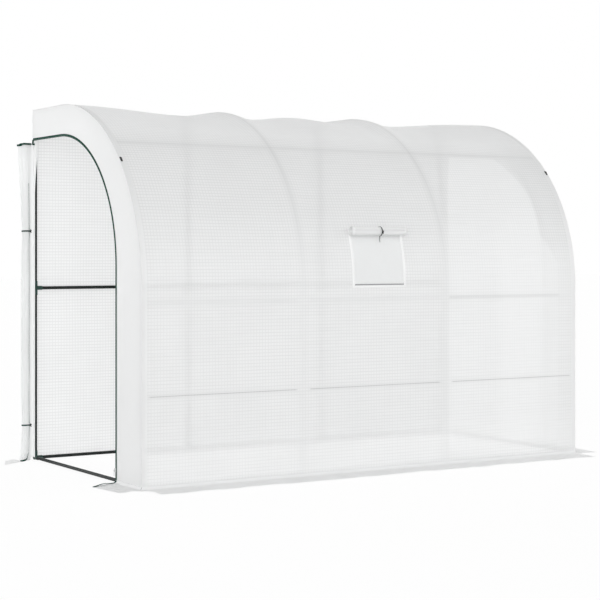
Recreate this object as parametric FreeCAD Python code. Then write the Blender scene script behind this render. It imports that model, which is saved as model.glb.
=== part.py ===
import FreeCAD, Part
import math
import os

# A walk-in lean-to greenhouse: a push-fit tube frame inside a sewn cover of woven sheet.
# Sizes are in millimetres. X runs along the wall, the front faces -Y, the wall is at +Y, Z is up.
# Shapes are drawn from the left end plane, the front plane and the ground. When saved they are
# moved so that the origin is the middle of the whole thing's base.

# Overall
length = 3000.0
depth = 1500.0
height = 2115.0
bend_radius = 1065.0
bay_count = 3

# Steel tubes and the plastic connectors that they push into
tube_d = 19.0
tube_wall = 0.6
socket_play = 0.3
socket_wall = 2.2
socket_reach = 42.0
tube_stop = 13.0
stop_gap = 0.3
hoop_end_gap = 1.0
hoop_sleeve = 45.0
foot_flat = 0.5

# Levels of the rails, the drop of the front's middle rail below the bend, and the purlin's angle
front_lower_z = 492.0
front_middle_drop = 61.0
wall_middle_z = 1039.0
purlin_angle = 49.6

# Cover
sheet = 1.2
seat_gap = 0.3
crown_sag = 38.0
roof_sag = 24.0
fold_height = 16.0
back_panel_foot = 3.0

# Doorways, one in each end
doorway_front = 323.0
doorway_top = 1930.0
doorway_radius = 750.0
seam_inset = 10.0

# Zips along the doorways
tape_width = 10.0
tape_thick = 1.2
teeth_width = 3.0
teeth_thick = 1.6
teeth_inset = 3.5
zip_gap = 2.0
slider_width = 8.0
slider_height = 22.0
slider_depth = 6.5
slider_rest_z = 60.0
lug_width = 4.0
lug_depth = 6.0
lug_bore_r = 1.5
pin_r = 1.2
pull_width = 9.0
pull_thick = 1.6
pull_length = 32.0
pull_start = 5.5
pull_hole_r = 2.2

# Skirts that lie on the ground
front_skirt = 200.0
end_skirt = 175.0
end_skirt_drag = 80.0
end_skirt_front_reach = 145.0
door_skirt = 200.0

# The left door, rolled up and hung beside the wall post
roll_bottom = 1.5
roll_top = 1902.0
roll_near_x = 28.0
roll_wall_gap = 30.0
roll_width = 56.0
roll_half = 22.0
roll_foot_width = 66.0
roll_foot_half = 16.0
roll_top_width = 81.0
roll_top_half = 17.0
tied_width = 52.0
tied_half = 18.0
roll_end_r = 12.0
roll_flap_reach = 262.0
roll_flap_drag = 150.0
roll_flap_width = 118.0
roll_cap = 9.0
tie_high_z = 1382.0
tie_low_z = 213.0
tie_width = 8.0
tie_thick = 1.6
tie_slot = 3.0

# The front window in the middle bay
window_shift = 20.0
window_width = 372.0
window_height = 350.0
window_start = 3.0
border_width = 18.0
border_thick = 1.5
mesh_thick = 0.6
fastener_width = 9.0
fastener_length = 340.0
fastener_thick = 1.2
flap_hem = 30.0
flap_hem_top = 7.0
flap_roll_r = 26.0
flap_roll_rise = 297.0
flap_roll_pitch = 5.2
flap_roll_gap = 0.8
flap_roll_turns = 4
flap_tie_d = 3.0
flap_tie_shift = 14.0
flap_tie_tail = 34.0
flap_tie_end = 19.0

# Small loops for guy ropes
loop_r = 8.0
loop_wire_r = 1.3
loop_angle = 41.8
loop_inset = 9.0

# Worked out from the sizes above
tube_r = tube_d / 2
bore_r = tube_r + socket_play
connector_r = bore_r + socket_wall
frame_inset = sheet + seat_gap + connector_r
bend_y = bend_radius
bend_z = height - bend_radius
front_middle_z = bend_z - front_middle_drop
hoop_radius = bend_radius - frame_inset
front_y = frame_inset
wall_y = depth - frame_inset
foot_z = connector_r - foot_flat
top_z = height - frame_inset
bay = (length - 2 * frame_inset) / bay_count
arch_x = [frame_inset + n * bay for n in range(bay_count + 1)]
panel_inset = sheet + seat_gap
doorway_bend_y = doorway_front + doorway_radius
doorway_bend_z = doorway_top - doorway_radius
seam_y = depth - seam_inset
fold_r = fold_height - sheet
roll_y = depth - roll_wall_gap
window_x = length / 2 + window_shift
roll_path_r = bend_radius + seat_gap + border_thick + seat_gap + sheet + seat_gap + flap_roll_r
right_reach = max(end_skirt, door_skirt)
origin_x = (length + right_reach - roll_flap_reach) / 2
origin_y = (depth - front_skirt) / 2


def vec(x, y, z):
    return FreeCAD.Vector(x, y, z)


def save(name, shape):
    """Moves a finished shape to the object's origin and writes it as its own file."""
    placed = shape.copy()
    placed.translate(vec(-origin_x, -origin_y, 0))
    if not placed.isValid():
        print("not valid:", name)
    placed.exportStep("parts/" + name + ".step")
    print(name, len(placed.Solids), round(placed.Volume))


def group(shapes):
    return Part.makeCompound(shapes)


def joined(shapes):
    """One solid from several that meet."""
    return shapes[0].multiFuse(shapes[1:]).removeSplitter()


def other_end(shape):
    """The same piece at the right end."""
    return shape.mirror(vec(length / 2, 0, 0), vec(1, 0, 0))


def rod(start, end, radius):
    run = end - start
    return Part.makeCylinder(radius, run.Length, start, run)


def box(x0, x1, y0, y1, z0, z1):
    return Part.makeBox(x1 - x0, y1 - y0, z1 - z0, vec(x0, y0, z0))


def on_bend(x, radius, angle):
    """The point at an angle, in degrees, above the front end of the bend."""
    a = math.radians(angle)
    return vec(x, bend_y - radius * math.cos(a), bend_z + radius * math.sin(a))


def up_bend(angle):
    """The direction along the bend, from the front towards the roof."""
    a = math.radians(angle)
    return vec(0, math.sin(a), math.cos(a))


def off_bend(angle):
    """The direction straight out of the bend."""
    a = math.radians(angle)
    return vec(0, -math.cos(a), math.sin(a))


def arc_degrees(arc_length, radius=bend_radius):
    return math.degrees(arc_length / radius)


# Frame


def tube(start, end):
    return rod(start, end, tube_r).cut(rod(start, end, tube_r - tube_wall))


def bent_rod(x, start_angle, end_angle, radius):
    """A round bar that follows the hoops' bend between two angles."""
    centre = on_bend(x, hoop_radius, start_angle)
    disc = Part.Face(Part.Wire(Part.makeCircle(radius, centre, up_bend(start_angle))))
    return disc.revolve(vec(x, bend_y, bend_z), vec(-1, 0, 0), end_angle - start_angle)


def bent_tube(x, start_angle, end_angle):
    inside = bent_rod(x, start_angle, end_angle, tube_r - tube_wall)
    return bent_rod(x, start_angle, end_angle, tube_r).cut(inside)


def socket(centre, way):
    """The outside of one arm of a connector. It runs past the centre, so that arms make a block."""
    return rod(centre - way * connector_r, centre + way * socket_reach, connector_r)


def socket_bore(centre, way):
    return rod(centre + way * (tube_stop - stop_gap), centre + way * (socket_reach + 1), bore_r)


def connector(centre, ways, through=None):
    """A connector with a socket for each way, and a bore right through along one more."""
    arms = [socket(centre, way) for way in ways]
    bores = [socket_bore(centre, way) for way in ways]
    if through is not None:
        arms.append(rod(centre - through * socket_reach, centre + through * socket_reach, connector_r))
        past = through * (socket_reach + 1)
        bores.append(rod(centre - past, centre + past, bore_r))
    return joined(arms).cut(group(bores))


def along_ways(n):
    """The ways along X in which arch n holds rails."""
    ways = []
    if n > 0:
        ways.append(vec(-1, 0, 0))
    if n < bay_count:
        ways.append(vec(1, 0, 0))
    return ways


def end_ways(n, way):
    """The way of a rail across the end, on the two end arches only."""
    return [way] if n in (0, bay_count) else []


def above_ground(shape):
    reach = socket_reach + 1
    centre = shape.BoundBox.Center
    under = box(centre.x - 2 * reach, centre.x + 2 * reach, centre.y - 2 * reach, centre.y + 2 * reach,
                -reach, 0)
    return shape.cut(under)


def rail_line(y, z):
    """The tubes of one line of rails, one to a bay."""
    tubes = []
    for n in range(bay_count):
        start = vec(arch_x[n] + tube_stop, y, z)
        end = vec(arch_x[n + 1] - tube_stop, y, z)
        tubes.append(tube(start, end))
    return group(tubes)


def hoop_lower(x):
    """From the middle front connector up to the purlin."""
    end_angle = purlin_angle - arc_degrees(hoop_end_gap / 2, hoop_radius)
    leg = tube(vec(x, front_y, front_middle_z + tube_stop), vec(x, front_y, bend_z))
    return joined([leg, bent_tube(x, 0, end_angle)])


def hoop_upper(x):
    """From the purlin over to the wall."""
    start_angle = purlin_angle + arc_degrees(hoop_end_gap / 2, hoop_radius)
    level = tube(vec(x, bend_y, top_z), vec(x, wall_y - tube_stop, top_z))
    return joined([bent_tube(x, start_angle, 90), level])


def rear_post(x):
    lower = tube(vec(x, wall_y, foot_z + tube_stop), vec(x, wall_y, wall_middle_z - tube_stop))
    upper = tube(vec(x, wall_y, wall_middle_z + tube_stop), vec(x, wall_y, top_z - tube_stop))
    return group([lower, upper])


def purlin_connector(n):
    """A curved sleeve where the two halves of a hoop meet, with sockets for the purlin."""
    half = arc_degrees(hoop_sleeve, hoop_radius)
    centre = on_bend(arch_x[n], hoop_radius, purlin_angle)
    sleeve = bent_rod(arch_x[n], purlin_angle - half, purlin_angle + half, connector_r)
    bore = bent_rod(arch_x[n], purlin_angle - half - 1, purlin_angle + half + 1, bore_r)
    ways = along_ways(n)
    arms = [rod(centre, centre + way * socket_reach, connector_r) for way in ways]
    bores = [socket_bore(centre, way) for way in ways]
    return joined([sleeve] + arms).cut(group([bore] + bores))


def make_frame():
    up = vec(0, 0, 1)
    back = vec(0, 1, 0)
    arches = range(bay_count + 1)
    for n in arches:
        x = arch_x[n]
        leg = tube(vec(x, front_y, foot_z + tube_stop), vec(x, front_y, front_middle_z - tube_stop))
        save("front_leg_%d" % (n + 1), leg)
        save("hoop_lower_%d" % (n + 1), hoop_lower(x))
        save("hoop_upper_%d" % (n + 1), hoop_upper(x))
        save("rear_post_%d" % (n + 1), rear_post(x))
    purlin = on_bend(0, hoop_radius, purlin_angle)
    save("front_bottom_rail", rail_line(front_y, foot_z))
    save("front_lower_rail", rail_line(front_y, front_lower_z))
    save("front_middle_rail", rail_line(front_y, front_middle_z))
    save("roof_purlin", rail_line(purlin.y, purlin.z))
    save("wall_top_rail", rail_line(wall_y, top_z))
    save("wall_middle_rail", rail_line(wall_y, wall_middle_z))
    save("wall_bottom_rail", rail_line(wall_y, foot_z))
    for name, n in (("left_end_bottom_rail", 0), ("right_end_bottom_rail", bay_count)):
        start = vec(arch_x[n], front_y + tube_stop, foot_z)
        save(name, tube(start, vec(arch_x[n], wall_y - tube_stop, foot_z)))
    fronts = [above_ground(connector(vec(arch_x[n], front_y, foot_z),
                                     [up] + along_ways(n) + end_ways(n, back))) for n in arches]
    save("front_foot_connectors", group(fronts))
    walls = [above_ground(connector(vec(arch_x[n], wall_y, foot_z),
                                    [up] + along_ways(n) + end_ways(n, -back))) for n in arches]
    save("wall_foot_connectors", group(walls))
    save("front_lower_connectors",
         group([connector(vec(arch_x[n], front_y, front_lower_z), along_ways(n), up) for n in arches]))
    save("front_middle_connectors",
         group([connector(vec(arch_x[n], front_y, front_middle_z), [up, -up] + along_ways(n))
                for n in arches]))
    save("wall_middle_connectors",
         group([connector(vec(arch_x[n], wall_y, wall_middle_z), [up, -up] + along_ways(n))
                for n in arches]))
    save("wall_top_connectors",
         group([connector(vec(arch_x[n], wall_y, top_z), [-up, -back] + along_ways(n))
                for n in arches]))
    save("purlin_connectors", group([purlin_connector(n) for n in arches]))


# Cover


def line(start, end):
    return Part.makeLine(start, end)


def arc(start, middle, end):
    return Part.Arc(start, middle, end).toShape()


def cover_points(x, offset, sag):
    """Points of the cover's section, from the front fold over to the wall. Sag is from 0 to 1."""
    half_low = purlin_angle / 2
    half_high = (purlin_angle + 90) / 2
    return [
        vec(x, offset, fold_height),
        vec(x, offset, bend_z),
        on_bend(x, bend_radius - offset, half_low),
        on_bend(x, bend_radius - offset, purlin_angle),
        on_bend(x, bend_radius - offset - roof_sag * sag, half_high),
        vec(x, bend_y, height - offset - crown_sag * sag),
        vec(x, depth, height - offset),
    ]


def cover_section(x, sag):
    out = cover_points(x, 0, sag)
    inn = cover_points(x, sheet, sag)
    edges = [
        line(out[0], out[1]),
        arc(out[1], out[2], out[3]),
        arc(out[3], out[4], out[5]),
        line(out[5], out[6]),
        line(out[6], inn[6]),
        line(inn[6], inn[5]),
        arc(inn[5], inn[4], inn[3]),
        arc(inn[3], inn[2], inn[1]),
        line(inn[1], inn[0]),
        line(inn[0], out[0]),
    ]
    return Part.Wire(edges)


def cover_bay(n):
    """The cover over one bay, which sags between two hoops."""
    edges = [0.0] + arch_x[1:-1] + [length]
    middle = (edges[n] + edges[n + 1]) / 2
    sections = [cover_section(edges[n], 0), cover_section(middle, 1), cover_section(edges[n + 1], 0)]
    return Part.makeLoft(sections, True, False)


def curved_plate(x0, x1, low, high, inner_r, outer_r):
    """A plate on the bend, from one height along the bend to another."""
    start = arc_degrees(low)
    corners = [on_bend(x0, inner_r, start), on_bend(x1, inner_r, start),
               on_bend(x1, outer_r, start), on_bend(x0, outer_r, start)]
    face = Part.Face(Part.makePolygon(corners + corners[:1]))
    return face.revolve(vec(x0, bend_y, bend_z), vec(-1, 0, 0), arc_degrees(high - low))


def window_plate(inset, inner_r, outer_r):
    """A plate of the window's outline, drawn in by an inset all round."""
    half = window_width / 2 - inset
    low = window_start + inset
    high = window_start + window_height - inset
    return curved_plate(window_x - half, window_x + half, low, high, inner_r, outer_r)


def end_panel():
    """The left end: a strip down the front and over the doorway."""
    o = panel_inset
    diagonal = math.sqrt(0.5)
    low = vec(0, o, fold_height)
    bend_start = vec(0, o, bend_z)
    bend_end = vec(0, bend_y, height - o)
    wall_high = vec(0, depth - o, height - o)
    wall_low = vec(0, depth - o, doorway_top)
    top_edge = vec(0, doorway_bend_y, doorway_top)
    front_edge = vec(0, doorway_front, doorway_bend_z)
    front_low = vec(0, doorway_front, fold_height)
    corner = vec(0, doorway_bend_y - doorway_radius * diagonal, doorway_bend_z + doorway_radius * diagonal)
    edges = [
        line(low, bend_start),
        arc(bend_start, on_bend(0, bend_radius - o, 45), bend_end),
        line(bend_end, wall_high),
        line(wall_high, wall_low),
        line(wall_low, top_edge),
        arc(top_edge, corner, front_edge),
        line(front_edge, front_low),
        line(front_low, low),
    ]
    return Part.Face(Part.Wire(edges)).extrude(vec(sheet, 0, 0))


def doorway_band(inner, outer, foot, x, thick, wall_end):
    """A band along the doorway's edge, between two distances outside it, as far as the wall end."""
    diagonal = math.sqrt(0.5)
    near = doorway_radius + inner
    far = doorway_radius + outer
    edges = [
        line(vec(x, doorway_front - inner, foot), vec(x, doorway_front - inner, doorway_bend_z)),
        arc(vec(x, doorway_front - inner, doorway_bend_z),
            vec(x, doorway_bend_y - near * diagonal, doorway_bend_z + near * diagonal),
            vec(x, doorway_bend_y, doorway_top + inner)),
        line(vec(x, doorway_bend_y, doorway_top + inner), vec(x, wall_end, doorway_top + inner)),
        line(vec(x, wall_end, doorway_top + inner), vec(x, wall_end, doorway_top + outer)),
        line(vec(x, wall_end, doorway_top + outer), vec(x, doorway_bend_y, doorway_top + outer)),
        arc(vec(x, doorway_bend_y, doorway_top + outer),
            vec(x, doorway_bend_y - far * diagonal, doorway_bend_z + far * diagonal),
            vec(x, doorway_front - outer, doorway_bend_z)),
        line(vec(x, doorway_front - outer, doorway_bend_z), vec(x, doorway_front - outer, foot)),
        line(vec(x, doorway_front - outer, foot), vec(x, doorway_front - inner, foot)),
    ]
    return Part.Face(Part.Wire(edges)).extrude(vec(-thick, 0, 0))


def zip_half(start, teeth_start, wall_end):
    """One half of the left zip: its tape, and the raised row of teeth along it."""
    tape = doorway_band(start, start + tape_width, fold_height, 0, tape_thick, wall_end)
    teeth = doorway_band(teeth_start, teeth_start + teeth_width, fold_height, 0,
                         tape_thick + teeth_thick, wall_end)
    return joined([tape, teeth])


def fold_face(reach, y):
    """The section across a skirt at the left end: the sheet turns out of the wall onto the ground."""
    diagonal = math.sqrt(0.5)
    big = fold_r + sheet
    edges = [
        arc(vec(sheet, y, fold_height),
            vec(-fold_r + big * diagonal, y, fold_height - big * diagonal), vec(-fold_r, y, 0)),
        line(vec(-fold_r, y, 0), vec(-reach, y, 0)),
        line(vec(-reach, y, 0), vec(-reach, y, sheet)),
        line(vec(-reach, y, sheet), vec(-fold_r, y, sheet)),
        arc(vec(-fold_r, y, sheet),
            vec(-fold_r + fold_r * diagonal, y, fold_height - fold_r * diagonal), vec(0, y, fold_height)),
        line(vec(0, y, fold_height), vec(sheet, y, fold_height)),
    ]
    return Part.Face(Part.Wire(edges))


def tape_fold_face(y):
    """The section across the zip tape where it follows the fold."""
    diagonal = math.sqrt(0.5)
    small = fold_r - tape_thick
    edges = [
        arc(vec(0, y, fold_height),
            vec(-fold_r + fold_r * diagonal, y, fold_height - fold_r * diagonal), vec(-fold_r, y, sheet)),
        line(vec(-fold_r, y, sheet), vec(-fold_r, y, sheet + tape_thick)),
        arc(vec(-fold_r, y, sheet + tape_thick),
            vec(-fold_r + small * diagonal, y, fold_height - small * diagonal),
            vec(-tape_thick, y, fold_height)),
        line(vec(-tape_thick, y, fold_height), vec(0, y, fold_height)),
    ]
    return Part.Face(Part.Wire(edges))


def ground_plate(points, low, thick):
    corners = [vec(x, y, low) for x, y in points]
    return Part.Face(Part.makePolygon(corners + corners[:1])).extrude(vec(0, 0, thick))


def end_skirt_piece():
    """The skirt under the left end's front strip, dragged a little forward."""
    width = doorway_front - panel_inset
    turn = fold_face(fold_r + 1, panel_inset).extrude(vec(0, width, 0))
    flat = ground_plate([(-fold_r, panel_inset), (-fold_r, doorway_front),
                         (-end_skirt, doorway_front - end_skirt_drag),
                         (-end_skirt_front_reach, -end_skirt_drag / 2)], 0, sheet)
    return joined([turn, flat])


def zip_tail():
    """The zip tape's end, which follows the skirt's edge out onto the ground."""
    start = doorway_front - tape_width
    turn = tape_fold_face(start).extrude(vec(0, tape_width, 0))
    flat = ground_plate([(-fold_r, start), (-fold_r, doorway_front),
                         (-end_skirt, doorway_front - end_skirt_drag),
                         (-end_skirt, start - end_skirt_drag)], sheet, tape_thick)
    return joined([turn, flat])


def front_skirt_piece():
    """The skirt along the whole front, drawn as at the left end and then turned to the front."""
    section = fold_face(front_skirt, 0)
    section.rotate(vec(0, 0, 0), vec(0, 0, 1), 90)
    return section.extrude(vec(length, 0, 0))


def make_cover():
    hole = window_plate(border_width, bend_radius - 2 * sheet, bend_radius + 2 * sheet)
    window_bay = bay_count // 2
    for n in range(bay_count):
        bay_sheet = cover_bay(n)
        if n == window_bay:
            bay_sheet = bay_sheet.cut(hole)
        save("cover_bay_%d" % (n + 1), bay_sheet)
    save("left_end_panel", end_panel())
    save("right_end_panel", other_end(end_panel()))
    o = panel_inset
    save("back_panel", box(o, length - o, depth - sheet, depth, back_panel_foot, height - o))
    save("front_skirt", front_skirt_piece())
    save("left_end_skirt", end_skirt_piece())
    save("right_end_skirt", other_end(end_skirt_piece()))
    strip_half = group([zip_half(0, teeth_inset, seam_y), zip_tail()])
    save("left_zip_tape", strip_half)
    save("right_zip_tape", other_end(strip_half))
    border_low = bend_radius + seat_gap
    border_high = border_low + border_thick
    border = window_plate(0, border_low, border_high)
    save("window_border", border.cut(window_plate(border_width, border_low - 1, border_high + 1)))
    mesh_low = bend_radius - (sheet + mesh_thick) / 2
    save("window_mesh", window_plate(border_width + seat_gap, mesh_low, mesh_low + mesh_thick))
    strip_high = window_start + border_width - 1
    save("window_fastener",
         curved_plate(window_x - fastener_length / 2, window_x + fastener_length / 2,
                      strip_high - fastener_width, strip_high, border_high,
                      border_high + fastener_thick))
    hem_high = window_start + window_height - flap_hem_top
    hem_low = border_high + seat_gap
    save("window_flap_hem",
         curved_plate(window_x - window_width / 2, window_x + window_width / 2,
                      hem_high - flap_hem, hem_high, hem_low, hem_low + sheet))
    loops = [guy_loop(loop_inset), guy_loop(length - loop_inset)]
    save("guy_loops", group(loops))


def guy_loop(x):
    """A small half ring that stands out of the cover."""
    centre = on_bend(x, bend_radius + seat_gap, loop_angle)
    foot = centre + up_bend(loop_angle) * loop_r
    disc = Part.Face(Part.Wire(Part.makeCircle(loop_wire_r, foot, off_bend(loop_angle))))
    return disc.revolve(centre, vec(1, 0, 0), 180)


# Moving pieces


def roll_section(z, width, half):
    """The outline of the rolled door at one height: two long sides and two round ends."""
    r = roll_end_r

    def at(along, side):
        return vec(-roll_near_x - along, roll_y + side, z)

    edges = [
        arc(at(r, -r), at(0, 0), at(r, r)),
        arc(at(r, r), at(width / 2, half), at(width - r, r)),
        arc(at(width - r, r), at(width, 0), at(width - r, -r)),
        arc(at(width - r, -r), at(width / 2, -half), at(r, -r)),
    ]
    return Part.Wire(edges)


def roll_tie(z, width, half):
    """A band round the rolled door."""
    outline = roll_section(z - tie_width / 2, width, half)
    inner = Part.Face(outline.makeOffset2D(seat_gap))
    outer = Part.Face(outline.makeOffset2D(seat_gap + tie_thick))
    return outer.cut(inner).extrude(vec(0, 0, tie_width))


def make_left_door():
    """The rolled door: pinched at its ties, fuller between them, wide at its top."""
    levels = [
        (roll_bottom, roll_foot_width, roll_foot_half),
        (tie_low_z / 2, roll_width, roll_half),
        (tie_low_z - tie_width, tied_width, tied_half),
        (tie_low_z + tie_width, tied_width, tied_half),
        ((tie_low_z + tie_high_z) / 2, roll_width, roll_half),
        (tie_high_z - tie_width, tied_width, tied_half),
        (tie_high_z + tie_width, tied_width, tied_half),
        ((tie_high_z + roll_top) / 2, roll_width, roll_half),
        (roll_top, roll_top_width, roll_top_half),
    ]
    roll = Part.makeLoft([roll_section(*level) for level in levels], True, True)
    near = roll_y - roll_flap_drag
    flap = ground_plate([(-roll_near_x, roll_y - roll_half), (-roll_near_x, roll_y + roll_half),
                         (-roll_flap_reach, near + roll_flap_width), (-roll_flap_reach, near)], 0, sheet)
    save("left_door_roll", group([roll, flap]))
    cap = Part.Face(roll_section(roll_top + seat_gap, roll_top_width, roll_top_half))
    save("left_door_top_tape", cap.extrude(vec(0, 0, roll_cap)))
    save("left_door_ties", group([roll_tie(z, tied_width, tied_half) for z in (tie_high_z, tie_low_z)]))
    seam_x = panel_inset - seat_gap
    seam_end = seat_gap - roll_near_x
    strip = [(seam_x, seam_y), (seam_x, seam_y - sheet),
             (seam_end, roll_y - sheet / 2), (seam_end, roll_y + sheet / 2)]
    web = ground_plate(strip, fold_height, roll_top - fold_height)
    for z in (tie_high_z, tie_low_z):
        slot_height = tie_width + 2 * seat_gap
        slot = Part.makeBox(tie_slot, depth, slot_height, vec(seam_end, 0, z - slot_height / 2))
        web = web.cut(slot)
    save("left_door_seam", web)


def make_right_door():
    inset = zip_gap
    diagonal = math.sqrt(0.5)
    radius = doorway_radius - inset
    back = seam_y - seat_gap
    front = doorway_front + inset
    top = doorway_top - inset
    edges = [
        line(vec(0, front, fold_height), vec(0, front, doorway_bend_z)),
        arc(vec(0, front, doorway_bend_z),
            vec(0, doorway_bend_y - radius * diagonal, doorway_bend_z + radius * diagonal),
            vec(0, doorway_bend_y, top)),
        line(vec(0, doorway_bend_y, top), vec(0, back, top)),
        line(vec(0, back, top), vec(0, back, fold_height)),
        line(vec(0, back, fold_height), vec(0, front, fold_height)),
    ]
    panel = Part.Face(Part.Wire(edges)).extrude(vec(sheet, 0, 0))
    skirt = fold_face(door_skirt, front).extrude(vec(0, back - front, 0))
    save("right_door_panel", other_end(joined([panel, skirt])))
    start = -inset - tape_width
    teeth_start = -inset - teeth_inset - teeth_width
    save("right_door_zip_tape", other_end(zip_half(start, teeth_start, back)))


def zip_slider():
    """A slider that clasps the left zip's teeth, with a lug for its pull."""
    inner = tape_thick + seat_gap
    middle = doorway_front - teeth_inset - teeth_width / 2
    low = slider_rest_z
    high = slider_rest_z + slider_height
    block = box(-inner - slider_depth, -inner, middle - slider_width / 2, middle + slider_width / 2,
                low, high)
    groove_half = teeth_width / 2 + seat_gap
    groove = box(-tape_thick - teeth_thick - seat_gap, -inner + 1, middle - groove_half,
                 middle + groove_half, low - 1, high + 1)
    face = -inner - slider_depth
    lug_middle = (low + high) / 2
    lug = box(face - lug_depth, face + 1, middle - lug_width / 2, middle + lug_width / 2,
              lug_middle - lug_depth / 2, lug_middle + lug_depth / 2)
    hole = rod(pull_pin() - vec(0, lug_width, 0), pull_pin() + vec(0, lug_width, 0), lug_bore_r)
    return joined([block, lug]).cut(groove).cut(hole)


def pull_pin():
    """The middle of the left pull's pin."""
    x = -tape_thick - seat_gap - slider_depth - lug_depth / 2
    y = doorway_front - teeth_inset - teeth_width / 2
    return vec(x, y, slider_rest_z + slider_height / 2)


def zip_pull():
    """The left pull: a plate with a fork and a pin through the lug."""
    pin = pull_pin()
    half = pull_width / 2
    bar = rod(pin - vec(0, half, 0), pin + vec(0, half, 0), pin_r)
    x0 = pin.x - pull_thick / 2
    x1 = pin.x + pull_thick / 2
    plate = box(x0, x1, pin.y - half, pin.y + half, pin.z - pull_length, pin.z + pin_r)
    slot_half = lug_width / 2 + seat_gap
    slot = box(x0 - 1, x1 + 1, pin.y - slot_half, pin.y + slot_half, pin.z - pull_start, pin.z + 2 * pin_r)
    eye = vec(pin.x - pull_thick, pin.y, pin.z - pull_length + 2 * pull_hole_r)
    hole = Part.makeCylinder(pull_hole_r, 2 * pull_thick, eye, vec(1, 0, 0))
    return joined([plate.cut(slot).cut(hole), bar])


def scroll_face(centre, x):
    """The end of the rolled flap: a band that winds in by half turns."""
    step = flap_roll_pitch / 2
    thick = flap_roll_pitch - flap_roll_gap

    def winding(start_radius):
        edges = []
        radius = start_radius
        middle = centre.y
        toward = 1
        point = vec(x, middle + radius, centre.z)
        for _ in range(2 * flap_roll_turns):
            half_way = vec(x, middle, centre.z - toward * radius)
            end = vec(x, middle - toward * radius, centre.z)
            edges.append(arc(point, half_way, end))
            radius = radius - step
            middle = end.y + toward * radius
            point = end
            toward = -toward
        return edges

    outside = winding(flap_roll_r)
    inside = winding(flap_roll_r - thick)
    first = line(outside[0].Vertexes[0].Point, inside[0].Vertexes[0].Point)
    last = line(outside[-1].Vertexes[-1].Point, inside[-1].Vertexes[-1].Point)
    return Part.Face(Part.Wire(Part.__sortEdges__(outside + inside + [first, last])))


def make_window_flap():
    rise = math.degrees(math.asin((window_start + flap_roll_rise + flap_roll_r) / roll_path_r))
    centre = on_bend(window_x - window_width / 2, roll_path_r, rise)
    face = scroll_face(centre, centre.x)
    save("window_flap_roll", face.extrude(vec(window_width, 0, 0)))
    ring_r = flap_roll_r + seat_gap + flap_tie_d / 2
    ring_x = window_x + flap_tie_shift
    ring = Part.makeTorus(ring_r, flap_tie_d / 2, vec(ring_x, centre.y, centre.z), vec(1, 0, 0))
    tail_top = vec(ring_x, centre.y, centre.z - ring_r)
    tail = rod(tail_top, tail_top - vec(0, 0, flap_tie_tail), flap_tie_d / 2)
    behind = box(ring_x - flap_tie_d, ring_x + flap_tie_d, centre.y + flap_tie_end,
                 centre.y + 2 * flap_roll_r, centre.z - 2 * flap_roll_r, centre.z + 2 * flap_roll_r)
    save("window_flap_tie", joined([ring.cut(behind), tail]))


def make_zip_sliders():
    save("left_zip_slider", zip_slider())
    save("left_zip_pull", zip_pull())
    save("right_zip_slider", other_end(zip_slider()))
    save("right_zip_pull", other_end(zip_pull()))


os.makedirs("parts", exist_ok=True)
make_frame()
make_cover()
make_left_door()
make_right_door()
make_window_flap()
make_zip_sliders()
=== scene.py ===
"""A lean-to greenhouse: its film cover, rolled and zipped doors, window and finishes."""
import math

import bpy
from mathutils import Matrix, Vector, noise


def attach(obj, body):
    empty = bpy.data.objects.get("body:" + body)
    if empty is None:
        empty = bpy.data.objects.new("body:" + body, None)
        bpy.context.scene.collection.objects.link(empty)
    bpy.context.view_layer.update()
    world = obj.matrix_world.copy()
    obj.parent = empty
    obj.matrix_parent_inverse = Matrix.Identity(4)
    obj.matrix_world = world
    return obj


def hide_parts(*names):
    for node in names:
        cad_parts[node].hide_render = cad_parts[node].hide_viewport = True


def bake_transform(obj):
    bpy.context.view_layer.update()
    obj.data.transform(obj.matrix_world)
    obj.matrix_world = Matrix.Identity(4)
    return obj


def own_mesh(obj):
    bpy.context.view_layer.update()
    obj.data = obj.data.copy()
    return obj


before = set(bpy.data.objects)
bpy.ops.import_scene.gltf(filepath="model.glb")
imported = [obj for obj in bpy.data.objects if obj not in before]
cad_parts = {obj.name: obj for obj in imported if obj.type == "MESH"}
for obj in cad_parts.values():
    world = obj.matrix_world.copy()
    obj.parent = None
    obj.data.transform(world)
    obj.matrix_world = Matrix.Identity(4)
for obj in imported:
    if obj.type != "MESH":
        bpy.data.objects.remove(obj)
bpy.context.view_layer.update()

TURN = 2 * math.pi

# Sizes in metres. x runs from the left end, y from the front, z from the ground.
LENGTH, DEPTH, HEIGHT = 3.0, 1.5, 2.115
ORIGIN_X, ORIGIN_Y = 1.469, 0.650
ARCHES = (0.0, 1.0045, 1.9955, 3.0)
BEND, PURLIN = 1.065, math.radians(49.6)
BEND_Z = HEIGHT - BEND
LOWER_RAIL, MIDDLE_RAIL, WALL_RAIL = 0.492, 0.989, 1.039
LOOP_X, LOOP_ANGLE = 0.009, math.radians(41.8)

# Half a sheet's thickness, the fold where the film meets the ground, the way round the cover from that
# fold, up the front and over the bend to the wall, its hems' width, and how far sheets keep off an edge
SHEET = 0.0006
FOLD = 0.016
FOLD_RADIUS = FOLD - SHEET
UP = BEND_Z - FOLD
QUARTER = BEND * math.pi / 2
AROUND = UP + QUARTER + DEPTH - BEND
PURLIN_AT = UP + BEND * PURLIN
EDGE_WIDE = 0.031
TRIM = 0.0015

# The doorway's edge, from the same fold up, round its corner and back to the seam by the wall
DOOR_FRONT, DOOR_TOP, DOOR_BEND, SEAM_Y = 0.323, 1.930, 0.750, 1.490
DOOR_STRAIGHT = DOOR_TOP - DOOR_BEND - FOLD
DOOR_TURN = DOOR_BEND * math.pi / 2
DOOR_WAY = DOOR_STRAIGHT + DOOR_TURN + SEAM_Y - DOOR_FRONT - DOOR_BEND
STRIP_PAST_SEAM = 0.0085

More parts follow.
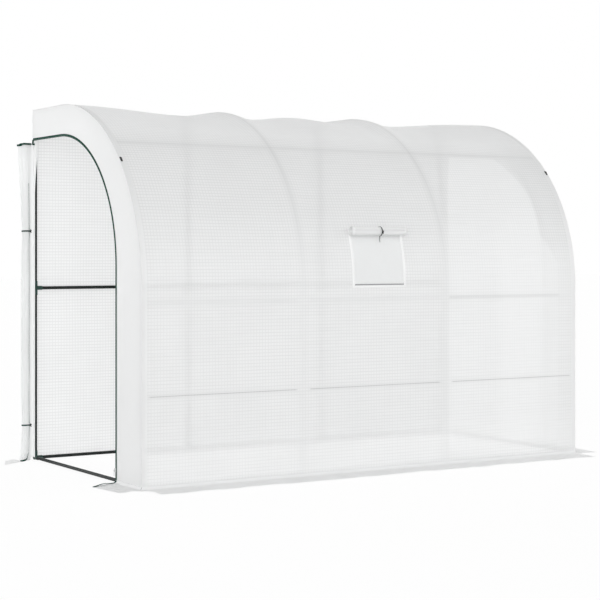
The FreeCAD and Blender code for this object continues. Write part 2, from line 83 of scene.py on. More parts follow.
# The skirts
SKIRT_REACH = 0.200
SKIRT_TURN = FOLD_RADIUS * math.pi / 2
SKIRT_DEEP = SKIRT_TURN + SKIRT_REACH - FOLD_RADIUS

# The rolled door: its near side, middle and top, its ties, the free edge of its film, the rings of a band
# round it, and how far the film laps the post and wraps it
ROLL_NEAR, ROLL_Y, ROLL_TOP = 0.024, 1.470, 1.902
TIES, TIE_SLOT = (1.382, 0.213), 0.0043
EDGE_ANGLE, BAND_RINGS = 1.09, 61
POST_LAP, POST_WRAP = 0.024, 0.016

# The window. Heights on the cover are from where the bend starts.
WINDOW_X, WINDOW_W, WINDOW_H, WINDOW_START, BORDER = 1.520, 0.372, 0.350, 0.003, 0.018
LEFT_X, RIGHT_X = WINDOW_X - WINDOW_W / 2, WINDOW_X + WINDOW_W / 2
LOW_S, HIGH_S = WINDOW_START, WINDOW_START + WINDOW_H
HOLE_LEFT, HOLE_RIGHT = LEFT_X + BORDER, RIGHT_X - BORDER
HOLE_LOW, HOLE_HIGH = LOW_S + BORDER, HIGH_S - BORDER


def row(x, y, z):
    return Vector((x - ORIGIN_X, y - ORIGIN_Y, z))


def end_x(side, x):
    """The same place at the left or the right end."""
    return x if side == "left" else LENGTH - x


def smooth(t):
    t = min(max(t, 0.0), 1.0)
    return t * t * (3 - 2 * t)


def between(value, table):
    """A smooth value from a table of (key, value) rows."""
    for (a, va), (b, vb) in zip(table, table[1:]):
        if value <= b:
            return va + (vb - va) * smooth((value - a) / (b - a))
    return table[-1][1]


def rough(x, y, z, scale):
    return noise.noise(Vector((x * scale, y * scale, z * scale)))


def add(name, data):
    made = bpy.data.objects.new(name, data)
    bpy.context.collection.objects.link(made)
    return made


# Materials


def scaled(color, by):
    return tuple(c * by for c in color)


def pale(level):
    return (level, level + 0.005, level + 0.005)


class Graph:
    """A node tree with helpers for its nodes."""

    def __init__(self, tree):
        self.nodes, self.links = tree.nodes, tree.links

    def node(self, kind, **settings):
        made = self.nodes.new(kind)
        for key, value in settings.items():
            setattr(made, key, value)
        return made

    def link(self, a, b):
        self.links.new(a, b)

    def math(self, kind, *values):
        made = self.node("ShaderNodeMath", operation=kind)
        for value, socket in zip(values, made.inputs):
            if isinstance(value, (int, float)):
                socket.default_value = value
            else:
                self.link(value, socket)
        return made.outputs[0]

    def plus(self, a, b):
        return self.math("ADD", a, b)

    def minus(self, a, b):
        return self.math("SUBTRACT", a, b)

    def times(self, a, b):
        return self.math("MULTIPLY", a, b)

    def least(self, a, b):
        return self.math("MINIMUM", a, b)

    def most(self, a, b):
        return self.math("MAXIMUM", a, b)

    def away(self, value, at):
        return self.math("ABSOLUTE", self.minus(value, at))

    def above(self, value, level):
        return self.most(self.minus(value, level), 0.0)

    def spread(self, value, low, high, to_low, to_high):
        made = self.node("ShaderNodeMapRange")
        self.link(value, made.inputs[0])
        for i, number in enumerate((low, high, to_low, to_high), 1):
            made.inputs[i].default_value = number
        return made.outputs[0]

    def place(self, kind="Object"):
        return self.node("ShaderNodeTexCoord").outputs[kind]

    def split(self, vector):
        made = self.node("ShaderNodeSeparateXYZ")
        self.link(vector, made.inputs[0])
        return made.outputs

    def mix_shader(self, factor, first, second):
        made = self.node("ShaderNodeMixShader")
        if isinstance(factor, float):
            made.inputs[0].default_value = factor
        else:
            self.link(factor, made.inputs[0])
        self.link(first.outputs[0], made.inputs[1])
        self.link(second.outputs[0], made.inputs[2])
        return made

    def seen(self):
        """1 where the camera sees it, straight, mirrored or through the film."""
        path = self.node("ShaderNodeLightPath").outputs
        straight = self.most(path["Is Camera Ray"], path["Is Glossy Ray"])
        return self.most(straight, path["Is Transmission Ray"])

    def white(self, kind, strength):
        made = self.node(kind)
        made.inputs[0].default_value = (1, 1, 1, 1)
        made.inputs[1].default_value = strength
        return made

    def show(self, shader, output="Material Output"):
        self.link(shader.outputs[0], self.nodes[output].inputs[0])


class Shader(Graph):
    """A principled material."""

    def __init__(self, name, color, roughness):
        self.material = bpy.data.materials.new(name)
        self.material.use_nodes = True
        super().__init__(self.material.node_tree)
        self.bsdf = self.nodes["Principled BSDF"]
        self.put("Base Color", (*color, 1))
        self.put("Roughness", roughness)

    def put(self, key, value):
        self.bsdf.inputs[key].default_value = value

    def drive(self, key, value):
        self.link(value, self.bsdf.inputs[key])

    def mix(self, factor, a, b):
        made = self.node("ShaderNodeMix", data_type="RGBA")
        self.link(factor, made.inputs[0])
        for socket, value in ((made.inputs[6], a), (made.inputs[7], b)):
            if isinstance(value, tuple):
                socket.default_value = (*value, 1)
            else:
                self.link(value, socket)
        return made.outputs[2]

    def noise(self, scale, detail=3.0, where="Object", stretch=(1, 1, 1)):
        mapping = self.node("ShaderNodeMapping")
        mapping.inputs["Scale"].default_value = stretch
        self.link(self.place(where), mapping.inputs[0])
        made = self.node("ShaderNodeTexNoise")
        made.inputs["Scale"].default_value = scale
        made.inputs["Detail"].default_value = detail
        self.link(mapping.outputs[0], made.inputs["Vector"])
        return made.outputs[0]

    def bump(self, height, distance, strength=1.0):
        made = self.node("ShaderNodeBump")
        made.inputs["Distance"].default_value = distance
        made.inputs["Strength"].default_value = strength
        self.link(height, made.inputs["Height"])
        self.drive("Normal", made.outputs[0])
        return made.outputs[0]

    def uv(self):
        return self.split(self.node("ShaderNodeUVMap", uv_map="metres").outputs[0])[:2]

    def lines(self, along, pitch, width):
        """1 on a line and 0 between, for lines at a pitch."""
        off = self.math("PINGPONG", along, pitch / 2)
        return self.spread(off, width * 0.35, width * 0.65, 1.0, 0.0)

    def shine_through(self, share, color, normal, window=None):
        """Adds light that comes through the sheet from behind, and a blurred view where it is clearer."""
        through = self.node("ShaderNodeBsdfTranslucent")
        self.link(color, through.inputs[0])
        self.link(normal, through.inputs["Normal"])
        mixed = self.mix_shader(share, self.bsdf, through)
        if window is not None:
            clear = self.node("ShaderNodeBsdfRefraction")
            clear.inputs["Roughness"].default_value = 0.40
            clear.inputs["IOR"].default_value = 1.06
            mixed = self.mix_shader(window, mixed, clear)
        self.show(mixed)


GRID, THREAD_WIDE = 0.0185, 0.0050


def film(name, color, thread, share, clear=0.0, framed=False):
    """Film with a woven-in grid. Light comes through it, and what stands close behind shows, blurred."""
    s = Shader(name, color, 0.42)
    u, v = s.uv()
    across = s.lines(v, GRID, THREAD_WIDE)
    upward = s.times(s.lines(u, GRID, THREAD_WIDE), 0.8)
    threads = s.most(across, upward)
    cloud = s.spread(s.noise(2.6, 2.0), 0.35, 0.65, 0.0, 1.0)
    tint = s.mix(threads, s.mix(cloud, scaled(color, 0.975), color), thread)
    along, upright = s.noise(1.0, 1.0, "UV", (4, 150, 1)), s.noise(1.0, 1.0, "UV", (150, 4, 1))
    # Random streaks along and up the film; the painted shade of the frame is added to them below
    streaks_and_painted_shade = s.spread(s.plus(along, s.times(upright, 0.5)), 0.55, 0.95, 0.035, 0.0)
    window = s.times(s.minus(1.0, threads), clear)
    if framed:
        # Painted light over the shut door, beside the right end and near the ground, and painted shade where
        # the film lies on the frame
        door_light_field, painted_light = painted_door_light(s, u, v)
        painted_shade, near = painted_frame_shade(s, u, v, door_light_field)
        streaks_and_painted_shade = s.plus(streaks_and_painted_shade, painted_shade)
        window = s.times(window, s.minus(1.0, near))
        tint = s.mix(painted_light, tint, pale(0.99))
    # The streaks and the painted shade darken the tint
    tint = s.mix(streaks_and_painted_shade, tint, scaled(color, 0.05))
    s.drive("Base Color", tint)
    height = s.plus(threads, s.times(s.noise(55.0, 2.0), 0.5))
    s.shine_through(share, tint, s.bump(height, 0.0003, 0.6), window if clear else None)
    return s.material


def painted_door_light(s, u, v):
    """1 where the shut door stands behind the cover, and how much painted light makes the film paler there,
    near it and near the ground.

    u is metres along the cover, v metres round it from the ground.
    """
    left = s.math("MULTIPLY_ADD", s.math("POWER", s.above(v, 1.05), 2.0), 0.348, 2.014)
    step = s.spread(v, 1.18, 1.35, 2.867, 2.762)
    right = s.math("MULTIPLY_ADD", s.math("POWER", s.above(v, 1.58), 1.5), -0.627, step)
    door_light_field = s.times(s.spread(s.minus(u, left), -0.004, 0.010, 0.0, 1.0),
                    s.spread(s.minus(right, u), -0.010, 0.015, 0.0, 1.0))
    door_light_field = s.times(door_light_field, s.spread(v, 1.922, 1.939, 1.0, 0.0))
    door_light_field = s.times(door_light_field, s.spread(v, 0.04, 0.10, 0.0, 1.0))
    # Painted light: over the door, beside the right end and near the ground
    strength = s.times(s.spread(u, 2.36, 2.46, 0.25, 0.50), s.spread(v, 1.10, 1.55, 1.0, 0.1))
    beside = s.times(s.spread(u, 2.84, 2.86, 0.0, 0.30), s.spread(v, 1.1, 1.4, 1.0, 0.0))
    foot = s.spread(v, 0.14, 0.28, 0.30, 0.0)
    return door_light_field, s.plus(s.most(s.times(door_light_field, strength), beside), foot)


def painted_frame_shade(s, u, v, door_light_field):
    """Where the film lies on the frame: how much painted shade it gets there and over the bend below the
    purlin, and how near a tube is.
    """
    hoop = s.least(*(s.away(u, x) for x in ARCHES[1:3]))
    any_hoop = s.least(hoop, s.least(u, s.minus(LENGTH, u)))
    low, middle, high = (s.away(v, at) for at in (LOWER_RAIL - FOLD - 0.004, MIDDLE_RAIL - FOLD, PURLIN_AT))
    clear_of_hoop = s.spread(any_hoop, 0.035, 0.055, 0.0, 1.0)
    # Painted shade: lines along the hoops, rails and purlin, and a band over the bend below the purlin, less
    # where the shut door stands behind
    ridge = s.plus(s.spread(hoop, 0.004, 0.013, 0.7, 0.0), s.spread(hoop, 0.0, 0.050, 0.3, 0.0))
    rail = s.times(s.spread(middle, 0.006, 0.012, 1.0, 0.0), s.math("MULTIPLY_ADD", door_light_field, 0.070, 0.018))
    shade = s.times(s.spread(v, 1.15, 1.50, 0.0, 0.080), s.spread(v, 1.95, 2.10, 1.0, 0.0))
    painted_shade = s.times(ridge, s.spread(v, UP, UP + 1.1, 0.0, 0.080))
    painted_shade = s.plus(painted_shade, s.times(s.spread(low, 0.0015, 0.0045, 0.25, 0.0), clear_of_hoop))
    painted_shade = s.plus(painted_shade, s.spread(high, 0.001, 0.011, 0.050, 0.0))
    painted_shade = s.plus(painted_shade, s.times(rail, s.most(clear_of_hoop, door_light_field)))
    painted_shade = s.plus(painted_shade, s.times(shade, s.math("MULTIPLY_ADD", door_light_field, -0.7, 1.0)))
    near = s.spread(any_hoop, 0.014, 0.040, 1.0, 0.0)
    for tube_away in (low, middle, high):
        near = s.most(near, s.spread(tube_away, 0.014, 0.040, 1.0, 0.0))
    return painted_shade, near


def plain_film(name, color, share, bend_shade=0.0):
    """Film without a grid. Its last argument darkens it over the bend by that share: painted shade."""
    s = Shader(name, color, 0.45)
    tint = s.mix(s.spread(s.noise(3.2, 3.0), 0.3, 0.7, 0.0, 1.0), scaled(color, 0.98), color)
    if bend_shade:
        # Painted shade over the bend
        tint = s.mix(s.spread(s.split(s.place())[2], 1.2, 1.6, 0.0, bend_shade), tint, (0, 0, 0))
    s.drive("Base Color", tint)
    height = s.plus(s.noise(9.0, 3.0), s.times(s.noise(260.0, 2.0), 0.06))
    s.shine_through(share, tint, s.bump(height, 0.002, 0.5))
    return s.material


def webbing(name, color, pitch=0.0011, dull=False):
    s = Shader(name, color, 0.8)
    s.put("Sheen Weight", 0.0 if dull else 0.15)
    s.put("Specular IOR Level", 0.12 if dull else 0.5)
    place = s.place()
    waves = []
    for direction in ("X", "Z"):
        wave = s.node("ShaderNodeTexWave", bands_direction=direction)
        wave.inputs["Scale"].default_value = 0.32 / pitch
        wave.inputs["Distortion"].default_value = 0.6
        s.link(place, wave.inputs["Vector"])
        waves.append(wave.outputs[0])
    weave = s.times(*waves)
    s.drive("Base Color", s.mix(weave, scaled(color, 0.62), scaled(color, 1.25)))
    s.bump(weave, 0.0003, 0.7)
    return s.material


def coated_steel():
    s = Shader("coated_steel", (0.020, 0.025, 0.024), 0.45)
    s.put("Specular IOR Level", 0.16)
    patch = s.spread(s.noise(38.0, 4.0), 0.3, 0.72, 0.0, 1.0)
    s.drive("Base Color", s.mix(patch, (0.014, 0.018, 0.017), (0.027, 0.033, 0.031)))
    s.drive("Roughness", s.spread(patch, 0, 1, 0.4, 0.6))
    s.bump(s.noise(900.0, 2.0), 0.0001, 0.35)
    return s.material


def moulded(name, color, roughness=0.5):
    s = Shader(name, color, roughness)
    patch = s.noise(60.0, 3.0)
    s.drive("Base Color", s.mix(patch, scaled(color, 0.8), scaled(color, 1.2)))
    s.drive("Roughness", s.spread(patch, 0, 1, roughness - 0.08, roughness + 0.1))
    s.bump(s.noise(1400.0, 2.0), 0.00008, 0.5)
    return s.material


def net():
    """Fine insect mesh."""
    s = Shader("window_net", (0.86, 0.87, 0.87), 0.7)
    pitch, thread_wide = 0.0016, 0.0008
    threads = s.most(*(s.lines(along, pitch, thread_wide) for along in s.uv()))
    tint = s.mix(threads, (0.87, 0.88, 0.88), (0.97, 0.98, 0.98))
    s.drive("Base Color", tint)
    s.drive("Alpha", s.spread(threads, 0, 1, 0.92, 1.0))
    s.shine_through(0.3, tint, s.bump(threads, 0.0003, 0.6))
    return s.material


FILM = film("gridded_film", pale(0.93), pale(0.855), 0.12, 0.22, True)
# Painted light: the door and back films are paler copies of the cover's film
DOOR_FILM = film("gridded_film_door", pale(0.945), pale(0.87), 0.60)
BACK_FILM = film("gridded_film_back", pale(0.975), pale(0.86), 0.55)
PLAIN = plain_film("plain_film", pale(0.925), 0.14)
EDGE = plain_film("edge_film", pale(0.93), 0.14, 0.10)
RIM = plain_film("window_rim_film", pale(0.975), 0.10)
FLAP = plain_film("window_flap_film", pale(0.905), 0.10)
# Painted light: the skirt, rolled and seam films are made paler to make up for light they lack
SKIRT = plain_film("skirt_film", pale(0.94), 0.10)
ROLLED = plain_film("rolled_film", pale(0.985), 0.50)
SEAM = plain_film("seam_film", pale(0.985), 0.55)
SEAM_LAP = plain_film("seam_lap_film", pale(0.985), 0.06)
ZIP = webbing("zip_green_tape", (0.007, 0.068, 0.044), dull=True)
TEETH = moulded("zip_teeth", (0.010, 0.062, 0.044), 0.4)
STRAP = webbing("strap_green", (0.007, 0.062, 0.042), dull=True)
BLACK_STRAP = webbing("strap_black", (0.018, 0.018, 0.019))
HOOK_TAPE = webbing("hook_tape_grey", (0.48, 0.485, 0.49), 0.0009)
STEEL = coated_steel()
CONNECTOR = moulded("connector_green_plastic", (0.010, 0.045, 0.034))
HARDWARE = moulded("zip_hardware_plastic", (0.72, 0.73, 0.73), 0.35)
LOOP = moulded("loop_black_plastic", (0.012, 0.012, 0.013), 0.4)
NET = net()


# Meshes


def piece(name, verts, faces, materials, body="frame", uvs=None, faces_of=None, flat=False):
    mesh = bpy.data.meshes.new(name)
    mesh.from_pydata([tuple(v) for v in verts], [], faces)
    made = add(name, mesh)
    for material in materials:
        mesh.materials.append(material)
    layer = mesh.uv_layers.new(name="metres")
    if uvs:
        for loop in mesh.loops:
            layer.data[loop.index].uv = uvs[loop.vertex_index]
    for i, polygon in enumerate(mesh.polygons):
        polygon.use_smooth = not flat
        if faces_of:
            polygon.material_index = faces_of[i]
    mesh.update()
    if body:
        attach(made, body)
    return made


def surface(name, us, vs, place, materials, body="frame", keep=lambda u, v: True, slot_of=lambda u, v: 0,
            uv_of=lambda u, v: (u, v)):
    """A sheet over a grid of (u, v), where place gives each point."""
    verts = [place(u, v) for v in vs for u in us]
    uvs = [uv_of(u, v) for v in vs for u in us]
    wide = len(us)
    faces, slots = [], []
    for j in range(len(vs) - 1):
        for i in range(wide - 1):
            u = (us[i] + us[i + 1]) / 2
            v = (vs[j] + vs[j + 1]) / 2
            if keep(u, v):
                a = j * wide + i
                faces.append((a, a + 1, a + 1 + wide, a + wide))
                slots.append(slot_of(u, v))
    used = sorted({k for f in faces for k in f})
    new = {k: i for i, k in enumerate(used)}
    return piece(name, [verts[k] for k in used], [tuple(new[k] for k in f) for f in faces],
                 materials, body, [uvs[k] for k in used], slots)


def steps(low, high, count, *marks):
    """Evenly spaced values with a few marks set in among them."""
    values = [low + (high - low) * i / count for i in range(count + 1)]
    for mark in marks:
        near = min(range(1, count), key=lambda i: abs(values[i] - mark))
        values[near] = mark
    return sorted(set(values))


def ring_faces(base, count, sides):
    """The faces between rings of points that follow one another from vertex base on."""
    starts = [base + i * sides for i in range(count - 1)]
    pairs = [(k, (k + 1) % sides) for k in range(sides)]
    return [(s + a, s + b, s + b + sides, s + a + sides) for s in starts for a, b in pairs]


def bar_faces(base, count, sides):
    """The faces of a bar: between its rings, and both ends."""
    last = base + (count - 1) * sides
    ends = [tuple(range(base, base + sides))[::-1], tuple(range(last, last + sides))]
    return ring_faces(base, count, sides) + ends


def ahead_of(path, i):
    return (path[min(i + 1, len(path) - 1)] - path[max(i - 1, 0)]).normalized()


def cord_like(name, path, radius, body):
    """A round, soft bar through points. radius gives its size by the share of the way along."""
    sides = 10
    verts = []
    normal = ahead_of(path, 0).orthogonal().normalized()
    for i, point in enumerate(path):
        ahead = ahead_of(path, i)
        normal = (normal - ahead * normal.dot(ahead)).normalized()
        other = ahead.cross(normal)
        r = radius(i / (len(path) - 1))
        for k in range(sides):
            a = TURN * k / sides
            verts.append(point + normal * r * math.cos(a) + other * r * math.sin(a))
    return piece(name, verts, bar_faces(0, len(path), sides), [BLACK_STRAP], body)


def ribbon(name, path, across, width, thick, material, body="frame"):
    """A flat strap along a path. across gives the strap's width direction at each point."""
    verts = []
    for i, point in enumerate(path):
        ahead = ahead_of(path, i)
        side = across(i)
        side = (side - ahead * side.dot(ahead)).normalized()
        out = side.cross(ahead)
        for a, b in ((-1, -1), (1, -1), (1, 1), (-1, 1)):
            verts.append(point + side * width / 2 * a + out * thick / 2 * b)
    return piece(name, verts, bar_faces(0, len(path), 4), [material], body, flat=True)


# The cover


def section(s):
    """Depth, height and outward direction at a distance along the cover from the ground."""
    if s <= UP:
        return 0.0, FOLD + s, -1.0, 0.0
    if s <= UP + QUARTER:
        a = (s - UP) / BEND
        return BEND - BEND * math.cos(a), BEND_Z + BEND * math.sin(a), -math.cos(a), math.sin(a)
    return BEND + s - UP - QUARTER, HEIGHT, 0.0, 1.0


# How deep the film hangs, by the distance round, and what share of that by the distance along: none over
# the hoops, all of it close beside the inner ones
SAG = [(0.0, 0.0), (0.20, 0.002), (0.49, 0.0), (0.75, 0.003), (0.98, 0.001), (UP + 0.5, 0.007),
       (PURLIN_AT - 0.05, 0.0010), (PURLIN_AT + 0.03, 0.0006), (UP + BEND * math.radians(69.8), 0.024),
       (UP + QUARTER, 0.038), (AROUND, 0.0)]
HANG = [(0.0, 0.0), (0.08, 0.03), (0.80, 1.0), (0.87, 0.95), (ARCHES[1], 0.0), (1.13, 0.95), (1.20, 1.0),
        (1.50, 0.35), (1.80, 1.0), (1.87, 0.95), (ARCHES[2], 0.0), (2.13, 0.95), (2.20, 1.0),
        (2.92, 0.03), (3.0, 0.0)]


def skin(x, s, out=0.0):
    """A point on the cover, or that far outside it."""
    y, z, ny, nz = section(s)
    slack = between(x, HANG)
    roof = smooth((s - UP - 0.3) / 0.9) * (1 - smooth((s - UP - QUARTER - 0.2) / 0.2))
    off_purlin = 1 - math.exp(-((s - PURLIN_AT) / 0.09) ** 2)
    ripple = 0.0012 * rough(x, s, 1.7, 5.0) * smooth(s / 0.3)
    ripple += 0.004 * roof * (0.5 + rough(x, s * 0.7, 4.2, 3.4))
    drop = max(between(s, SAG) * slack + slack ** 0.5 * off_purlin * ripple, 0.0)
    y -= ny * (drop - out)
    z -= nz * (drop - out)
    return row(x, min(y, DEPTH), z)


def on_bend(x, s, out):
    """A point on the cover by its distance from where the bend starts."""
    return skin(x, UP + s, out)


def make_cover():
    low, high = UP + HOLE_LOW, UP + HOLE_HIGH
    far = LENGTH - EDGE_WIDE
    us = steps(0.0, LENGTH, 150, EDGE_WIDE, ARCHES[1], HOLE_LEFT, HOLE_RIGHT, ARCHES[2], far)
    vs = steps(0.0, AROUND, 150, UP, low, high, PURLIN_AT, UP + QUARTER)
    cover = surface("cover_film", us, vs, skin, [FILM, EDGE],
                    keep=lambda u, v: not (HOLE_LEFT < u < HOLE_RIGHT and low < v < high),
                    slot_of=lambda u, v: int(u < EDGE_WIDE or u > far))
    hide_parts("cover_bay_1", "cover_bay_2", "cover_bay_3")

    def back(u, v):
        wave = 0.003 * rough(u, v, 9.0, 2.4)
        post = min(abs(u - x) for x in ARCHES)
        rail = min(v, abs(v - WALL_RAIL), HEIGHT - v)
        slack = smooth((min(post, rail) - 0.03) / 0.25)
        return row(u, DEPTH - SHEET - max(0.0, 0.004 + wave) * slack, v)

    panel = surface("back_film", steps(TRIM, LENGTH - TRIM, 90), steps(0.003, HEIGHT - TRIM, 66), back,
                    [BACK_FILM])
    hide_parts("back_panel")


# The ends


def doorway(t, out=0.0):
    """A point along the doorway's edge, t metres from the ground fold, and that far outside it."""
    if t <= DOOR_STRAIGHT:
        return DOOR_FRONT - out, FOLD + t
    if t <= DOOR_STRAIGHT + DOOR_TURN:
        a = (t - DOOR_STRAIGHT) / DOOR_BEND
        r = DOOR_BEND + out
        return DOOR_FRONT + DOOR_BEND - r * math.cos(a), DOOR_TOP - DOOR_BEND + r * math.sin(a)
    return DOOR_FRONT + DOOR_BEND + t - DOOR_STRAIGHT - DOOR_TURN, DOOR_TOP + out


def outer_edge(t):
    """The cover's own edge beside a point of the doorway."""
    inset = 0.0008
    if t <= DOOR_STRAIGHT:
        s = UP * t / DOOR_STRAIGHT
    elif t <= DOOR_STRAIGHT + DOOR_TURN:
        s = UP + QUARTER * (t - DOOR_STRAIGHT) / DOOR_TURN
    else:
        level = SEAM_Y + STRIP_PAST_SEAM - DOOR_FRONT - DOOR_BEND
        s = UP + QUARTER + (DEPTH - TRIM - BEND) * (t - DOOR_STRAIGHT - DOOR_TURN) / level
    y, z, ny, nz = section(s)
    return y - ny * inset, z - nz * inset


def make_end(side):
    def place(u, v):
        y1, z1 = doorway(u)
        y2, z2 = outer_edge(u)
        bulge = math.sin(math.pi * v) * (0.004 + 0.004 * rough(u, v, 3.0 if side == "left" else 8.0, 2.2))
        lift = max(0.0, bulge) * smooth(u / 0.3)
        return row(end_x(side, SHEET - lift * 0.5), y1 + (y2 - y1) * v, z1 + (z2 - z1) * v)

    way = steps(0.0, DOOR_WAY + STRIP_PAST_SEAM, 110, DOOR_STRAIGHT, DOOR_STRAIGHT + DOOR_TURN)
    strip = surface(side + "_end_strip", way, steps(0.0, 1.0, 12), place, [PLAIN],
                    uv_of=lambda u, v: (u, 0.3 * v))
    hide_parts(side + "_end_panel")
    make_zip(side + "_strip_zip", side, "frame", side + "_zip_tape")
    if side == "left":
        make_tape_corner()


def make_tape_corner():
    """The left zip's tape, where it turns down from the doorway's top and laps the post."""
    turned = [(-0.0006, 1.488, 1.936), (-0.003, 1.486, 1.929), (-0.006, 1.481, 1.920),
              (-0.009, 1.476, 1.9125)]
    lapped = [(-0.0102, 1.4808, 1.9086), (-0.0045, 1.4770, 1.9080), (-0.0022, 1.4740, 1.9077),
              (-0.0016, 1.4700, 1.9075), (-0.0016, 1.4640, 1.9072)]
    for name, path, across in (("left_zip_corner", turned, (0.85, -0.52, 0)),
                               ("left_zip_end", lapped, (0, 0, 1))):
        tape = ribbon(name, [row(*at) for at in path], lambda i: Vector(across), 0.010, 0.0015, ZIP)


def make_zip(name, side, body, node):
    """A zip half: woven tape with a row of teeth. The frame's half turns out onto the ground at its foot."""
    on_frame = body == "frame"
    start, wide = (0.0, 0.015) if on_frame else (-0.012, 0.010)
    tape_under, tape_top, teeth_top = 0.0001, 0.0012, 0.0027
    teeth_start, tooth_wide, tooth_long, pitch, clear_end = start + 0.0035, 0.003, 0.0024, 0.0042, 0.004
    last = DOOR_WAY - (0.0 if on_frame else 0.0003)
    verts, faces, slots = [], [], []

    def bar(frames, slot):
        made = bar_faces(len(verts), len(frames), 4)
        faces.extend(made)
        slots.extend([slot] * len(made))
        for corners in frames:
            verts.extend(corners)

    def ring(t, a, b, under, top):
        ya, za = doorway(t, a)
        yb, zb = doorway(t, b)
        corners = ((under, ya, za), (under, yb, zb), (top, yb, zb), (top, ya, za))
        return [row(end_x(side, -x), y, z) for x, y, z in corners]

    if on_frame:
        radius = FOLD - tape_top
        near = DOOR_FRONT - wide
        turned = ((tape_under, DOOR_FRONT), (tape_under, near), (tape_top, near), (tape_top, DOOR_FRONT))
        laid = ((0.0, 0.0), (0.0, -wide), (tape_top, -wide), (tape_top, 0.0))
        foot = []
        for i in range(9):
            a = (i + 1) / 9 * math.pi / 2
            x, z = -radius * (1 - math.cos(a)), FOLD - radius * math.sin(a)
            foot.append([row(end_x(side, x - math.cos(a) * off), y, z + math.sin(a) * off)
                         for off, y in turned])
        for i in range(1, 15):
            share = i / 14
            x, y = -radius - 0.158 * share, DOOR_FRONT - 0.078 * share
            z = 0.0013 + 0.006 * math.sin(math.pi * share) ** 2
            foot.append([row(end_x(side, x), y + over, z + off) for off, over in laid])
        bar(foot, 0)
    count = 130
    bar([ring(last * i / count, start, start + wide, tape_under, tape_top) for i in range(count + 1)], 0)
    t = clear_end
    while t < last - clear_end:
        bar([ring(t + half, teeth_start, teeth_start + tooth_wide, tape_top, teeth_top)
             for half in (-tooth_long / 2, tooth_long / 2)], 1)
        t += pitch
    made = piece(name, verts, faces, [ZIP, TEETH], body, faces_of=slots, flat=True)
    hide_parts(node)


# Skirts on the ground


def fold_out(b):
    """Distance out and height along a skirt, b metres from the fold."""
    if b <= SKIRT_TURN:
        a = b / FOLD_RADIUS
        return FOLD_RADIUS * (1 - math.cos(a)), FOLD - FOLD_RADIUS * math.sin(a)
    return FOLD_RADIUS + b - SKIRT_TURN, SHEET


def ground_lift(x, y, amount):
    return amount * max(0.0, 0.35 + rough(x, y, 2.2, 7.0) + 0.5 * rough(x, y, 6.1, 15.0))


def make_front_skirt():
    def front(u, v):
        out, z = fold_out(v)
        share = max(0.0, out - FOLD_RADIUS) / (SKIRT_REACH - FOLD_RADIUS)
        lift = ground_lift(u, out, 0.010) * math.sin(math.pi * min(1.0, share * 0.85))
        ripple = 0.004 * rough(u, 0.0, 5.5, 6.0) * share
        start = 0.012 * share
        return row(start + (LENGTH - 2 * start) * u / LENGTH, -out + max(0.0, ripple), z + lift)

    skirt = surface("front_ground_skirt", steps(0.0, LENGTH, 170), steps(0.0, SKIRT_DEEP, 16, SKIRT_TURN),
                    front, [SKIRT])
    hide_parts("front_skirt")


def make_end_skirt(side):
    turn_share = 0.25

    def end(u, v):
        y_fold = TRIM + (DOOR_FRONT - TRIM) * u
        if v <= turn_share:
            a = v / turn_share * math.pi / 2
            x = -FOLD_RADIUS * (1 - math.cos(a))
            return row(end_x(side, x), y_fold, FOLD - FOLD_RADIUS * math.sin(a))
        share = (v - turn_share) / (1 - turn_share)
        far_x = -0.145 - 0.030 * u
        far_y = -0.040 + (DOOR_FRONT - 0.040) * u
        x = -FOLD_RADIUS + (far_x + FOLD_RADIUS) * share
        y = y_fold + (far_y - y_fold) * share
        wave = 0.5 + rough(u * 0.3, share * 0.2, 3.3 if side == "left" else 7.7, 9.0)
        lift = 0.012 * max(0.0, wave) * math.sin(math.pi * share) * math.sin(math.pi * u)
        return row(end_x(side, x), y, SHEET + lift)

    flap = surface(side + "_ground_skirt", steps(0.0, 1.0, 26), steps(0.0, 1.0, 20, turn_share), end, [SKIRT],
                   uv_of=lambda u, v: (0.3 * u, 0.18 * v))
    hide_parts(side + "_end_skirt")

    def corner(u, v):
        out, z = fold_out(v)
        return row(end_x(side, 0.0008 - out * math.cos(u)), 0.0008 - out * math.sin(u), z)

    gusset = surface(side + "_skirt_corner", steps(0.0, math.pi / 2, 10),
                     steps(0.0, SKIRT_TURN + 0.030, 14, SKIRT_TURN), corner, [SKIRT],
                     uv_of=lambda u, v: (0.03 * u, v))


# The rolled left door

# Height, width and half depth of the roll: it is drawn in at the ties
ROLL_SIZES = [(0.0, 0.066, 0.016), (0.10, 0.058, 0.021), (0.195, 0.051, 0.0175), (0.231, 0.051, 0.0175),
              (0.40, 0.056, 0.021), (0.80, 0.057, 0.0225), (1.20, 0.056, 0.021), (1.364, 0.051, 0.0175),
              (1.400, 0.051, 0.0175), (1.52, 0.059, 0.021), (1.70, 0.067, 0.0205), (1.84, 0.077, 0.018),
              (ROLL_TOP, 0.081, 0.0165)]

# Grooves down the roll: angle, how far it drifts, depth and width
GROOVES = ((EDGE_ANGLE - 0.03, 0.0, 0.0040, 0.11), (2.05, 0.22, 0.0030, 0.22), (2.75, -0.2, 0.0024, 0.20),
           (4.2, 0.3, 0.0030, 0.25), (5.3, -0.25, 0.0026, 0.22))


